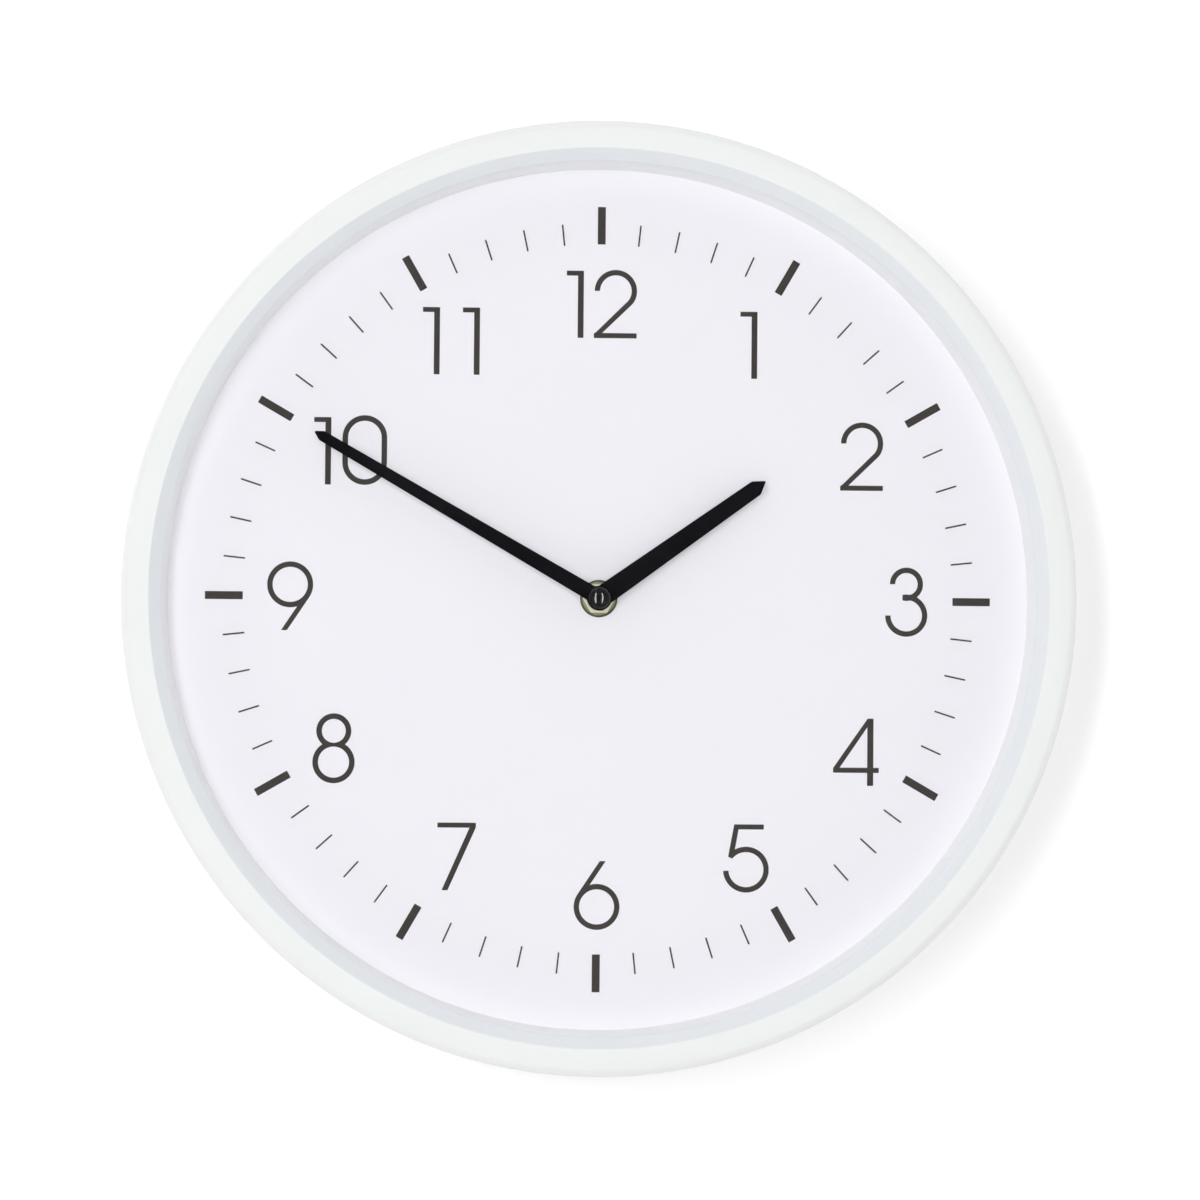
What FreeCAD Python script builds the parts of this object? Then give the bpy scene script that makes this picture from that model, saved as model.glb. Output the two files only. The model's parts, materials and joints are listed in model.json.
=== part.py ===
import FreeCAD, Part
import os
from math import pi, sin, cos, tan, asin, acos, sqrt, radians

# Quartz wall clock, 300 mm across. Every piece is drawn in the dial's own frame: x to the right,
# y up, z out of the dial towards the viewer, with z = 0 at the wall. place() then turns the pieces
# so that Z is up and the dial faces -Y. All lengths are in millimetres.

V = FreeCAD.Vector

# ---------------------------------------------------------------- case
CASE_R = 150.0            # outside radius
CASE_DEPTH = 38.0         # wall to front face
CASE_WALL = 2.6
SHOULDER_R = 2.8          # rounding of the outer front edge
FACE_INNER_R = 141.2      # where the flat front face ends and the bevel starts
LIP_R = 137.6             # inner edge of the bevel
LIP_Z = 34.4
RIB_IN_R = 140.5          # rib that centres lens, spacer and dial
RIB_OUT_R = 142.4
FRONT_SKIN_Z = 35.6       # inside of the front face
LENS_R = 140.2
LENS_Z = (32.0, 34.0)
SPACER_FOOT_R = 136.2     # inner wall, where it stands on the dial
SPACER_TOP_R = 137.9      # inner wall, under the glass
SPACER_OUT_R = 140.1
DIAL_R = 140.2
DIAL_Z = (21.0, 22.0)
PRINT_T = 0.08            # thickness of the printed ink
PLATE_R = 147.0
PLATE_Z = (18.5, 21.0)
SCREW_PCR = 144.9         # radius of the screw circle
SCREW_COUNT = 6

# ---------------------------------------------------------------- wall hanger
HANGER_Y = 108.0          # centre of the round part of the keyhole
KEY_R = 4.5
KEY_SLOT = 4.4
KEY_TOP_Y = 121.0         # centre of the slot's upper end
HANGER_Z = (2.0, 4.2)     # the wall of the hanger box that carries the keyhole

# ---------------------------------------------------------------- dial marks
MARK_IN_R = 112.4
HOUR_MARK_R = 124.3
HOUR_MARK_W = 2.5
MINUTE_MARK_R = 119.2
MINUTE_MARK_W = 0.52

# ---------------------------------------------------------------- hands
HOUR_ANGLE = 54.4         # clockwise from twelve, at rest
MINUTE_ANGLE = 299.8
HAND_T = 0.5
HUB_R = 3.9
HOUR_HAND = (64.3, 3.33, 2.49, 3.5)      # length, half width at root, half width at tip, point
MINUTE_HAND = (103.8, 2.47, 1.63, 2.5)
HOUR_HAND_Z = 25.9
MINUTE_HAND_Z = 27.9
CAP_R = 3.45
CAP_TOP_Z = 31.0

# ---------------------------------------------------------------- movement
MOV_HALF = 28.0           # the case of the movement is 56 mm square
MOV_Z = (1.6, 16.3, 17.7)                # rear face, top of the housing, front face
MOV_WALL = 1.4
REAR_SKIN_Z = 3.1         # inside of the rear wall
BAY_Y = (-26.7, -11.6)    # battery bay, lower and upper side
CELL_R = 7.25
CELL_Y = -19.15
CELL_Z = 8.95
TRAIN_PLATE_Z = (10.6, 11.8)
BUSH_R = 3.5
HOUR_TUBE_R = 2.5
ARBOR_R = 1.8
SECONDS_ARBOR_R = 0.5
RUN = 0.05                # radial clearance of every running fit

# ---------------------------------------------------------------- gears
PRESSURE = radians(20.0)
BACKLASH = 0.06           # taken off the thickness of every tooth
M_ROTOR = 0.28
M_SECONDS = 0.32
M_MOTION = 0.42
Z_ROTOR = 8
Z_INTER = 40
Z_INTER_PINION = 10
Z_SECONDS = 60
Z_SECONDS_PINION = 8
Z_THIRD = 60
Z_THIRD_PINION = 8
Z_CENTRE = 64
Z_CANNON = 12
Z_MOTION = 36
Z_MOTION_PINION = 10
Z_HOUR = 40
Z_KNOB = 18
A_THIRD = (Z_SECONDS_PINION + Z_THIRD) * M_SECONDS / 2
M_CENTRE = 2 * A_THIRD / (Z_THIRD_PINION + Z_CENTRE)
A_INTER = (Z_SECONDS + Z_INTER_PINION) * M_SECONDS / 2
A_ROTOR = (Z_ROTOR + Z_INTER) * M_ROTOR / 2
A_MOTION = (Z_CANNON + Z_MOTION) * M_MOTION / 2
M_HOUR = 2 * A_MOTION / (Z_MOTION_PINION + Z_HOUR)
A_KNOB = (Z_MOTION + Z_KNOB) * M_MOTION / 2
DIR_THIRD = radians(178.0)      # direction of each arbor from the one before it
DIR_INTER = radians(60.0)
DIR_ROTOR = radians(20.0)
DIR_MOTION = radians(150.0)
DIR_KNOB = radians(130.0)
THIRD = (A_THIRD * cos(DIR_THIRD), A_THIRD * sin(DIR_THIRD))
INTER = (A_INTER * cos(DIR_INTER), A_INTER * sin(DIR_INTER))
ROTOR = (INTER[0] + A_ROTOR * cos(DIR_ROTOR), INTER[1] + A_ROTOR * sin(DIR_ROTOR))
MOTION = (A_MOTION * cos(DIR_MOTION), A_MOTION * sin(DIR_MOTION))
KNOB = (MOTION[0] + A_KNOB * cos(DIR_KNOB), MOTION[1] + A_KNOB * sin(DIR_KNOB))


# ================================================================ helpers
def place(shape):
    """Turn a piece from the dial's frame into the model's frame."""
    turned = shape.copy()
    turned.rotate(V(0, 0, 0), V(1, 0, 0), 90)
    return turned


def save(node, *solids):
    """Write one node as a STEP file in the model's frame."""
    shape = solids[0] if len(solids) == 1 else Part.makeCompound(list(solids))
    place(shape).exportStep("parts/" + node + ".step")
    print(node, "solids", len(shape.Solids), "valid", shape.isValid(), round(shape.Volume, 2))


def cyl(r, z0, z1, at=(0.0, 0.0)):
    return Part.makeCylinder(r, z1 - z0, V(at[0], at[1], z0))


def ring(r_out, r_in, z0, z1, at=(0.0, 0.0)):
    return cyl(r_out, z0, z1, at).cut(cyl(r_in, z0 - 1, z1 + 1, at))


def box(x0, x1, y0, y1, z0, z1):
    return Part.makeBox(x1 - x0, y1 - y0, z1 - z0, V(x0, y0, z0))


def line(a, b):
    return Part.makeLine(V(a[0], a[1], 0), V(b[0], b[1], 0))


def arc(a, m, b):
    return Part.Arc(V(a[0], a[1], 0), V(m[0], m[1], 0), V(b[0], b[1], 0)).toShape()


def polar(r, a, at=(0.0, 0.0)):
    return (at[0] + r * cos(a), at[1] + r * sin(a))


def polygon(points):
    """A flat face through the points, closed, always drawn anticlockwise."""
    loop = [V(p[0], p[1], 0) for p in points]
    area = sum(a.x * b.y - b.x * a.y for a, b in zip(loop, loop[1:] + loop[:1]))
    if area < 0:
        loop.reverse()
    return Part.Face(Part.makePolygon(loop + [loop[0]]))


def prism(face, z0, z1):
    """A flat face at z = 0, raised between two heights."""
    body = face.extrude(V(0, 0, z1 - z0))
    body.translate(V(0, 0, z0))
    return body


def rounded_box(x0, x1, y0, y1, z0, z1, r):
    """A box whose four upright edges are rounded."""
    body = box(x0, x1, y0, y1, z0, z1)
    upright = [e for e in body.Edges if abs(e.tangentAt(e.FirstParameter).z) > 0.99]
    return body.makeFillet(r, upright)


def turned(edges_rz):
    """Revolve a closed (radius, z) profile about the dial's axis."""
    shapes = []
    for edge in edges_rz:
        pts = [V(p[0], 0, p[1]) for p in edge]
        if len(pts) == 2:
            shapes.append(Part.makeLine(pts[0], pts[1]))
        else:
            shapes.append(Part.Arc(pts[0], pts[1], pts[2]).toShape())
    face = Part.Face(Part.Wire(shapes))
    return face.revolve(V(0, 0, 0), V(0, 0, 1), 360)


def loop_rz(points):
    """Straight edges through (radius, z) points, closed."""
    return [(points[i], points[(i + 1) % len(points)]) for i in range(len(points))]


# ================================================================ gears
def involute(a):
    return tan(a) - a


def mesh_phase(teeth, other_teeth, other_phase, direction):
    """Tooth angle of a gear that meshes with another one lying in the given direction from it."""
    u = other_teeth * (direction + pi - other_phase) / (2 * pi)
    return direction - 2 * pi * (0.5 - u) / teeth


def gear_face(teeth, module, shift, tip, root, phase, at, steps):
    """Outline of an involute gear. tip and root are in modules from the pitch circle."""
    r = teeth * module / 2
    rb = r * cos(PRESSURE)
    ra = r + tip * module
    rf = r - root * module
    thick = module * (pi / 2 + 2 * shift * tan(PRESSURE)) - BACKLASH
    half = thick / (2 * r) + involute(PRESSURE)
    rs = max(rb, rf)

    def half_at(rho):
        return half - involute(acos(min(1.0, rb / rho)))

    count = 2 * steps
    radii = [rs + (ra - rs) * (i / count) ** 1.5 for i in range(count + 1)]
    edges = []
    pitch = 2 * pi / teeth
    for k in range(teeth):
        mid = phase + k * pitch
        up = [polar(rho, mid - half_at(rho), at) for rho in radii]
        down = [polar(rho, mid + half_at(rho), at) for rho in reversed(radii)]
        if rf < rb - 1e-6:
            edges.append(line(polar(rf, mid - half_at(rb), at), up[0]))
        for i in range(0, count, 2):
            edges.append(arc(up[i], up[i + 1], up[i + 2]))
        edges.append(arc(up[-1], polar(ra, mid, at), down[0]))
        for i in range(0, count, 2):
            edges.append(arc(down[i], down[i + 1], down[i + 2]))
        foot = polar(rf, mid + half_at(rs), at)
        if rf < rb - 1e-6:
            edges.append(line(down[-1], foot))
        following = polar(rf, mid + pitch - half_at(rs), at)
        edges.append(arc(foot, polar(rf, mid + pitch / 2, at), following))
    return Part.Face(Part.Wire(edges))


def pinion(teeth, module, phase, z0, z1, at=(0.0, 0.0)):
    """A small driving gear with a raised addendum, so that few teeth are not undercut."""
    return prism(gear_face(teeth, module, 0.5, 1.2, 0.75, phase, at, 2), z0, z1)


def wheel(teeth, module, phase, z0, z1, at=(0.0, 0.0)):
    """The large gear that runs against such a pinion."""
    return prism(gear_face(teeth, module, -0.5, 0.5, 1.45, phase, at, 1), z0, z1)


def windows(r_in, r_out, count, web, z0, z1, at):
    """Cutters for the openings between the arms of a wheel."""
    cutters = []
    for k in range(count):
        a0 = 2 * pi * k / count
        a1 = 2 * pi * (k + 1) / count
        mid = (a0 + a1) / 2
        di = web / 2 / r_in
        do = web / 2 / r_out
        edges = [
            line(polar(r_in, a0 + di, at), polar(r_out, a0 + do, at)),
            arc(polar(r_out, a0 + do, at), polar(r_out, mid, at), polar(r_out, a1 - do, at)),
            line(polar(r_out, a1 - do, at), polar(r_in, a1 - di, at)),
            arc(polar(r_in, a1 - di, at), polar(r_in, mid, at), polar(r_in, a0 + di, at)),
        ]
        cutters.append(prism(Part.Face(Part.Wire(edges)), z0, z1))
    return cutters


PH_CANNON = mesh_phase(Z_CANNON, Z_MOTION, 0.0, DIR_MOTION)
PH_KNOB = mesh_phase(Z_KNOB, Z_MOTION, 0.0, DIR_KNOB + pi)
PH_MOTION_PINION = mesh_phase(Z_MOTION_PINION, Z_HOUR, 0.0, DIR_MOTION + pi)
PH_THIRD_PINION = mesh_phase(Z_THIRD_PINION, Z_CENTRE, 0.0, DIR_THIRD + pi)
PH_SECONDS_PINION = mesh_phase(Z_SECONDS_PINION, Z_THIRD, 0.0, DIR_THIRD)
PH_INTER_PINION = mesh_phase(Z_INTER_PINION, Z_SECONDS, 0.0, DIR_INTER + pi)
PH_ROTOR = mesh_phase(Z_ROTOR, Z_INTER, 0.0, DIR_ROTOR + pi)


# ================================================================ case
def screw_spots():
    return [polar(SCREW_PCR, 2 * pi * k / SCREW_COUNT + pi / SCREW_COUNT) for k in range(SCREW_COUNT)]


def make_bezel():
    """Front ring: outer wall, flat face, bevel, centring rib and screw bosses."""
    zs = CASE_DEPTH - SHOULDER_R
    rs = CASE_R - SHOULDER_R
    d = SHOULDER_R * sqrt(0.5)
    wall_in = CASE_R - CASE_WALL
    e = 0.5
    edges = [
        ((CASE_R, 0), (CASE_R, zs)),
        ((CASE_R, zs), (rs + d, zs + d), (rs, CASE_DEPTH)),
        ((rs, CASE_DEPTH), (FACE_INNER_R + e, CASE_DEPTH)),
        ((FACE_INNER_R + e, CASE_DEPTH), (FACE_INNER_R + 0.07, CASE_DEPTH - 0.09),
         (FACE_INNER_R - 0.35, CASE_DEPTH - 0.35)),
        ((FACE_INNER_R - 0.35, CASE_DEPTH - 0.35), (LIP_R, LIP_Z)),
        ((LIP_R, LIP_Z), (LIP_R, LENS_Z[1])),
        ((LIP_R, LENS_Z[1]), (RIB_IN_R, LENS_Z[1])),
        ((RIB_IN_R, LENS_Z[1]), (RIB_IN_R, PLATE_Z[1])),
        ((RIB_IN_R, PLATE_Z[1]), (RIB_OUT_R, PLATE_Z[1])),
        ((RIB_OUT_R, PLATE_Z[1]), (RIB_OUT_R, FRONT_SKIN_Z)),
        ((RIB_OUT_R, FRONT_SKIN_Z), (wall_in, FRONT_SKIN_Z)),
        ((wall_in, FRONT_SKIN_Z), (wall_in, 0)),
        ((wall_in, 0), (CASE_R, 0)),
    ]
    body = turned(edges)
    bosses = [cyl(2.8, PLATE_Z[1], FRONT_SKIN_Z + 0.4, at) for at in screw_spots()]
    body = body.fuse(bosses)
    holes = [cyl(1.4, PLATE_Z[1] - 1, FRONT_SKIN_Z - 4, at) for at in screw_spots()]
    return body.cut(holes)


def make_lens():
    c = 0.35
    z0, z1 = LENS_Z
    pts = [(0, z0), (LENS_R - c, z0), (LENS_R, z0 + c), (LENS_R, z1 - c), (LENS_R - c, z1), (0, z1)]
    return turned(loop_rz(pts))


def make_spacer():
    """C-shaped ring with a drafted inner wall, which holds the glass away from the dial."""
    z0, z1 = DIAL_Z[1], LENS_Z[0]
    t = 1.2
    lean = (SPACER_TOP_R - SPACER_FOOT_R) * t / (z1 - z0)
    low_r = SPACER_FOOT_R + lean + t
    high_r = SPACER_TOP_R - lean + t
    pts = [
        (SPACER_FOOT_R, z0), (SPACER_OUT_R, z0), (SPACER_OUT_R, z0 + t), (low_r, z0 + t),
        (high_r, z1 - t), (SPACER_OUT_R, z1 - t), (SPACER_OUT_R, z1), (SPACER_TOP_R, z1),
    ]
    return turned(loop_rz(pts))


def make_dial():
    return ring(DIAL_R, BUSH_R + 0.3, DIAL_Z[0], DIAL_Z[1])


def rib(angle, r0, r1, width, z0, z1):
    body = box(r0, r1, -width / 2, width / 2, z0, z1)
    body.rotate(V(0, 0, 0), V(0, 0, 1), angle)
    return body


def keyhole():
    """Cutter for the keyhole: a round entry and a narrow slot above it."""
    z0, z1 = HANGER_Z[0] - 1, HANGER_Z[1] + 1
    entry = cyl(KEY_R, z0, z1, (0, HANGER_Y))
    end = cyl(KEY_SLOT / 2, z0, z1, (0, KEY_TOP_Y))
    return entry.fuse([end, box(-KEY_SLOT / 2, KEY_SLOT / 2, HANGER_Y, KEY_TOP_Y, z0, z1)])


def make_back_plate():
    """Plate that carries the dial: ribs, a frame round the movement and the hanger box."""
    zr, zf = PLATE_Z
    body = cyl(PLATE_R, zr, zf)
    adds = [ring(63.0, 61.4, 12.0, zr + 0.5), ring(139.6, 138.0, 13.0, zr + 0.5)]
    adds.append(ring(100.8, 99.2, 14.5, zr + 0.5))
    for k in range(12):
        angle = 15.0 + 30.0 * k
        adds.append(rib(angle, 62.2, 138.8, 1.6, 14.5, zr + 0.5))
    for k in range(4):
        adds.append(rib(90.0 * k, 28.8, 62.2, 1.6, 14.5, zr + 0.5))
    frame = rounded_box(-30.2, 30.2, -30.2, 30.2, 12.0, zr + 0.5, 4.6)
    frame = frame.cut(rounded_box(-28.4, 28.4, -28.4, 28.4, 11.0, zr + 0.6, 3.2))
    adds.append(frame)
    adds.append(rounded_box(-11.0, 11.0, 98.0, 131.0, HANGER_Z[0], zr + 0.5, 3.0))
    body = body.fuse(adds)
    cuts = [rounded_box(-28.4, 28.4, -28.4, 28.4, 11.0, zr, 3.2)]
    cuts.append(rounded_box(-9.0, 9.0, 100.0, 129.0, HANGER_Z[1], zr, 1.5))
    cuts.append(keyhole())
    cuts.append(cyl(BUSH_R + 0.4, zr - 1, zf + 1))
    cuts += [cyl(1.7, zr - 1, zf + 1, at) for at in screw_spots()]
    return body.cut(cuts)


def make_screw(at):
    """Pan-head self-tapping screw with a cross recess, driven from behind."""
    zr = PLATE_Z[0]
    pts = [(0, zr - 1.7), (1.6, zr - 1.7), (2.4, zr - 0.8), (2.4, zr), (1.35, zr),
           (1.35, zr + 9.4), (0.3, zr + 11.2), (0, zr + 11.2)]
    body = turned(loop_rz(pts))
    for angle in (0, 90):
        slot = box(-1.4, 1.4, -0.3, 0.3, zr - 2, zr - 0.8)
        slot.rotate(V(0, 0, 0), V(0, 0, 1), angle)
        body = body.cut(slot)
    body.translate(V(at[0], at[1], 0))
    return body


# ================================================================ numerals
# Each numeral is drawn with x from its left side and y up from its foot.
FLAT = 1.58               # thickness of level strokes
STEM = 1.84               # thickness of upright strokes
BOW = 1.70                # thickness of round strokes
CAP_H = 21.4


def disc(r, c):
    return Part.Face(Part.Wire(Part.makeCircle(r, V(c[0], c[1], 0))))


def hoop(r, t, c):
    return disc(r, c).cut(disc(r - t, c))


def slab(x0, x1, y0, y1):
    return polygon([(x0, y0), (x1, y0), (x1, y1), (x0, y1)])


def merge(shapes):
    """One face from several overlapping ones."""
    faces = [f for s in shapes for f in s.Faces]
    return faces[0].fuse(faces[1:]).removeSplitter()


def sector(c, r, a0, a1):
    """Pie slice from angle a0 to a1 in degrees, anticlockwise, less than 180 degrees wide."""
    p0 = polar(r, radians(a0), c)
    p1 = polar(r, radians(a1), c)
    pm = polar(r, radians((a0 + a1) / 2), c)
    return Part.Face(Part.Wire([line(c, p0), arc(p0, pm, p1), line(p1, c)]))


def digit_1():
    h = 21.3
    return merge([slab(3.57, 3.57 + STEM, 0, h), slab(0, 4.5, h - 1.54, h)])


def digit_2():
    h = 21.7
    r = 6.72
    c = (6.9, h - r)
    bow = hoop(r, BOW, c)
    keep = [sector(c, 9, 0, 90), sector(c, 9, 90, 180), sector(c, 9, -36, 0)]
    bow = merge([bow.common(k) for k in keep])
    a = radians(-36)
    outer = polar(r, a, c)
    inner = polar(r - BOW, a, c)
    leg = polygon([outer, inner, (0.0, 1.2), (0.0, 0.0), (1.6, 0.6)])
    return merge([bow, leg, slab(0, 13.6, 0, 1.61)])


def digit_3():
    h = 21.95
    r_top = 5.29
    r_low = 6.71
    c_top = (6.71, h - r_top)
    c_low = (6.71, r_low)
    bar_y = h - 9.53
    top = hoop(r_top, BOW, c_top)
    low = hoop(r_low, BOW, c_low)
    top = top.cut(slab(0, 5.48, bar_y - 3, c_top[1]))
    low = low.cut(slab(0, 5.48, c_low[1], bar_y + 3))
    bar = slab(5.48, 8.2, bar_y - 0.76, bar_y + 0.76)
    return merge([top, low, bar])


def digit_4():
    h = 21.3
    stem = slab(10.83, 12.76, 0, h)
    bar = slab(0, 14.53, h - 17.19, h - 15.58)
    slant = polygon([(10.9, h), (0.0, h - 15.7), (0.0, h - 16.6), (1.4, h - 16.6), (2.09, h - 15.58),
                     (10.9, h - 2.6)])
    return merge([stem, bar, slant])


def digit_5():
    h = 21.53
    c = (6.97, h - 14.28)
    r = 7.25
    bow = hoop(r, BOW, c)
    off = polygon([c, (-1.0, c[1] - 0.5), (-1.0, h), (3.32, h), (3.32, h - 8.04), (2.53, h - 10.8)])
    bow = bow.cut(off)
    top = slab(3.2, 12.54, h - FLAT, h)
    stem = polygon([(3.17, h), (1.30, h - 10.23), (2.53, h - 10.84), (3.36, h - 8.3), (4.62, h - 1.2)])
    return merge([bow, top, stem])


def digit_7():
    h = 21.3
    slant = polygon([(12.13, h), (12.13, h - 1.5), (3.35, 0), (1.46, 0), (10.2, h - 1.4), (10.2, h)])
    return merge([slab(0, 12.13, h - 1.54, h), slant])


def digit_8():
    h = 22.04
    r_top = 5.52
    r_low = 6.66
    x = 6.66
    low = disc(r_low, (x, r_low)).fuse(disc(r_top, (x, h - r_top)))
    low = low.removeSplitter()
    holes = [disc(r_low - 1.75, (x, r_low)), disc(r_top - 1.75, (x, h - r_top))]
    return low.cut(holes[0]).cut(holes[1])


def digit_9():
    h = 21.5
    r = 7.25
    c = (7.25, h + 0.2 - r)
    a = radians(33.6)
    n = (cos(a), -sin(a))
    width = 1.56
    touch = (c[0] + r * n[0], c[1] + r * n[1])
    inside = (touch[0] - width * n[0], touch[1] - width * n[1])
    foot_out = touch[0] - tan(a) * touch[1]
    foot_in = inside[0] - tan(a) * inside[1]
    tail = polygon([touch, inside, (foot_in, 0), (foot_out, 0)])
    return merge([hoop(r, BOW, c), tail])


def digit_6():
    body = digit_9()
    body.rotate(V(7.25, 10.85, 0), V(0, 0, 1), 180)
    return body


def digit_0():
    h = 22.04
    r = 7.05

    def stadium(rad, inset_x, inset_y):
        x0, x1 = inset_x, 2 * r - inset_x
        y0, y1 = inset_y, h - inset_y
        m = (x0 + x1) / 2
        lo, hi = y0 + rad, y1 - rad
        return Part.Face(Part.Wire([
            arc((x0, hi), (m, y1), (x1, hi)), line((x1, hi), (x1, lo)),
            arc((x1, lo), (m, y0), (x0, lo)), line((x0, lo), (x0, hi))]))

    inner_r = r - 1.75
    return stadium(r, 0, 0).cut(stadium(inner_r, 1.75, 1.75))


DIGITS = {"1": digit_1, "2": digit_2, "3": digit_3, "4": digit_4, "5": digit_5,
          "6": digit_6, "7": digit_7, "8": digit_8, "9": digit_9, "0": digit_0}
# hour: centre of the numeral on the dial
NUMERAL_AT = {
    12: (0.2, 93.5), 1: (47.0, 80.9), 2: (83.2, 45.9), 3: (97.7, -0.2), 4: (82.0, -47.9),
    5: (47.3, -81.8), 6: (0.1, -93.8), 7: (-44.3, -81.8), 8: (-83.3, -48.0), 9: (-97.5, 0.0),
    10: (-78.9, 46.3), 11: (-47.4, 81.2),
}
DIGIT_GAP = {12: 3.29, 10: 3.58, 11: 7.25}


def make_numerals():
    """One thin solid for each numeral stroke group, centred on its place on the dial."""
    solids = []
    z = DIAL_Z[1]
    for hour, centre in NUMERAL_AT.items():
        x = 0.0
        faces = []
        for mark in str(hour):
            face = DIGITS[mark]()
            face.translate(V(x - face.BoundBox.XMin, -face.BoundBox.YMin, 0))
            faces.append(face)
            x = face.BoundBox.XMax + DIGIT_GAP.get(hour, 0.0)
        whole = Part.makeCompound(faces).BoundBox
        for face in faces:
            face.translate(V(centre[0] - whole.Center.x, centre[1] - whole.Center.y, 0))
            solids += prism(face, z, z + PRINT_T).Solids
    return solids


def make_minute_track():
    """Sixty marks: a broad bar at each hour and a fine line at each other minute."""
    solids = []
    z = DIAL_Z[1]
    for k in range(60):
        on_hour = k % 5 == 0
        half = (HOUR_MARK_W if on_hour else MINUTE_MARK_W) / 2
        top = HOUR_MARK_R if on_hour else MINUTE_MARK_R
        mark = box(-half, half, MARK_IN_R, top, z, z + PRINT_T)
        mark.rotate(V(0, 0, 0), V(0, 0, 1), -6.0 * k)
        solids.append(mark)
    return solids


# ================================================================ hands
def blade(length, root, tip, point):
    """Flat hand pointing up: round hub, small fillets, slightly tapered sides, blunt point."""
    f = 1.4
    cx = root + f
    cy = sqrt((HUB_R + f) ** 2 - cx ** 2)
    k = HUB_R / (HUB_R + f)
    hub_pt = (cx * k, cy * k)
    m = (hub_pt[0] - cx + root - cx, hub_pt[1] - cy)
    size = sqrt(m[0] ** 2 + m[1] ** 2)
    fil_mid = (cx + f * m[0] / size, cy + f * m[1] / size)
    side = (root, cy)
    y_tip = length - point
    t = 0.35
    right = [
        arc(hub_pt, fil_mid, side),
        line(side, (tip, y_tip)),
        line((tip, y_tip), (t, length - t * 0.7)),
    ]
    left = [
        line((-t, length - t * 0.7), (-tip, y_tip)),
        line((-tip, y_tip), (-root, cy)),
        arc((-root, cy), (-fil_mid[0], fil_mid[1]), (-hub_pt[0], hub_pt[1])),
    ]
    nose = [arc((t, length - t * 0.7), (0, length), (-t, length - t * 0.7))]
    hub = [arc((-hub_pt[0], hub_pt[1]), (0, -HUB_R), hub_pt)]
    return Part.Face(Part.Wire(right + nose + left + hub))


def double_flat(r, flats, z0, z1):
    return cyl(r, z0, z1).common(box(-flats / 2, flats / 2, -r - 1, r + 1, z0, z1))


def make_hour_hand():
    z = HOUR_HAND_Z
    body = prism(blade(*HOUR_HAND), z, z + HAND_T)
    body = body.fuse(cyl(3.3, z - 0.6, z))
    body = body.cut(cyl(HOUR_TUBE_R + 0.02, z - 2, z + 2))
    body.rotate(V(0, 0, 0), V(0, 0, 1), -HOUR_ANGLE)
    return body


def make_minute_hand():
    z = MINUTE_HAND_Z
    body = prism(blade(*MINUTE_HAND), z, z + HAND_T)
    body = body.cut(double_flat(1.52, 2.44, z - 1, z + 2))
    body.rotate(V(0, 0, 0), V(0, 0, 1), -MINUTE_ANGLE)
    return body


def make_hand_cap():
    """Closed cap nut with a domed top."""
    z0 = MINUTE_HAND_Z + HAND_T
    z1 = CAP_TOP_Z
    side = z0 + 1.0
    low = 0.25
    ball = (CAP_R ** 2 + (z1 - side) ** 2) / (2 * (z1 - side))
    half = asin(CAP_R / ball) / 2
    mid_r = ball * sin(half)
    mid_z = z1 - ball + ball * cos(half)
    edges = [
        ((0, z0), (CAP_R - low, z0)),
        ((CAP_R - low, z0), (CAP_R, z0 + low)),
        ((CAP_R, z0 + low), (CAP_R, side)),
        ((CAP_R, side), (mid_r, mid_z), (0, z1)),
        ((0, z1), (0, z0)),
    ]
    return turned(edges).cut(cyl(1.22, z0 - 1, z0 + 1.75))


# ================================================================ hub hardware
def make_rubber_washer():
    return ring(8.2, BUSH_R + 0.1, MOV_Z[2], PLATE_Z[0])


def make_brass_washer():
    return ring(5.9, BUSH_R + 0.1, DIAL_Z[1], DIAL_Z[1] + 0.5)


def make_hex_nut():
    z0 = DIAL_Z[1] + 0.5
    z1 = z0 + 2.0
    flat = 8.9
    corner = flat / sqrt(3.0)
    body = prism(polygon([polar(corner, radians(60 * k)) for k in range(6)]), z0, z1)
    cone = turned(loop_rz([(0, z0), (corner + 0.1, z0), (corner + 0.1, z1 - 0.45),
                           (flat / 2 - 0.1, z1), (0, z1)]))
    body = body.common(cone)
    return body.cut(cyl(BUSH_R + 0.03, z0 - 1, z1 + 1))


def make_threaded_bush():
    """Brass bush of the movement: inner flange and a threaded neck drawn as a row of rings."""
    z = MOV_Z[1]
    pitch = 0.75
    pts = [(HOUR_TUBE_R + RUN, z - 0.8), (5.0, z - 0.8), (5.0, z), (BUSH_R - 0.3, z)]
    zz = z + 1.6
    top = 25.0
    pts.append((BUSH_R - 0.3, zz))
    while zz + pitch < top - 0.3:
        pts += [(BUSH_R, zz + 0.3), (BUSH_R, zz + 0.4), (BUSH_R - 0.3, zz + 0.7)]
        pts.append((BUSH_R - 0.3, zz + pitch))
        zz += pitch
    pts += [(BUSH_R - 0.3, top), (HOUR_TUBE_R + RUN, top)]
    return turned(loop_rz(pts))


# ================================================================ movement case
POSTS = [(-23.0, -8.3), (11.0, -8.4), (-23.0, 15.0), (23.2, 15.0)]
BOARD_PINS = [(14.8, 2.8), (24.0, -7.6)]
CLIP_Y = (20.0, -4.5)


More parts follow.
